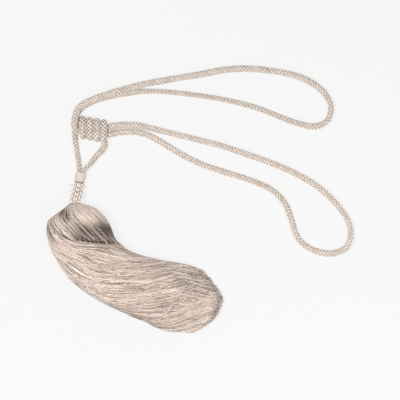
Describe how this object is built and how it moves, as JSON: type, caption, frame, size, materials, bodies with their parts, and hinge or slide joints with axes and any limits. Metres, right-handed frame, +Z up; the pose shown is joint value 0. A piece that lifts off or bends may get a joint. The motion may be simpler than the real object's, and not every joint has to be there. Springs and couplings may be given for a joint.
{
  "type": "curtain tieback",
  "caption": "Braided cord tieback with loops pinched by a wound barrel knot, hanger strands, a bound sleeve, a braided neck and a large silky yarn tassel, lying flat.",
  "frame": {"origin": "under the tassel's head, in the middle of its flat underside, on the surface that the tieback lies on", "axes": "+Z up from the surface, +X the way the loops run from the knot, +Y from the tassel's head towards the knot"},
  "size_m": [0.3684, 0.3211, 0.0521],
  "materials": {
    "braided_cord": "braided silky yarn, greige, soft sheen",
    "wound_thread": "fine wound thread, light greige, soft sheen",
    "silky_yarn": "loose silky yarns, greige, strong sheen along the yarns"
  },
  "bodies": {
    "root": {"embrace_cord": "braided_cord", "hanger_cord_left": "braided_cord", "hanger_knot": "braided_cord", "hanger_cord_right": "braided_cord", "binding_sleeve": "wound_thread", "braided_neck": "braided_cord", "tassel": "silky_yarn"}
  },
  "joints": []
}
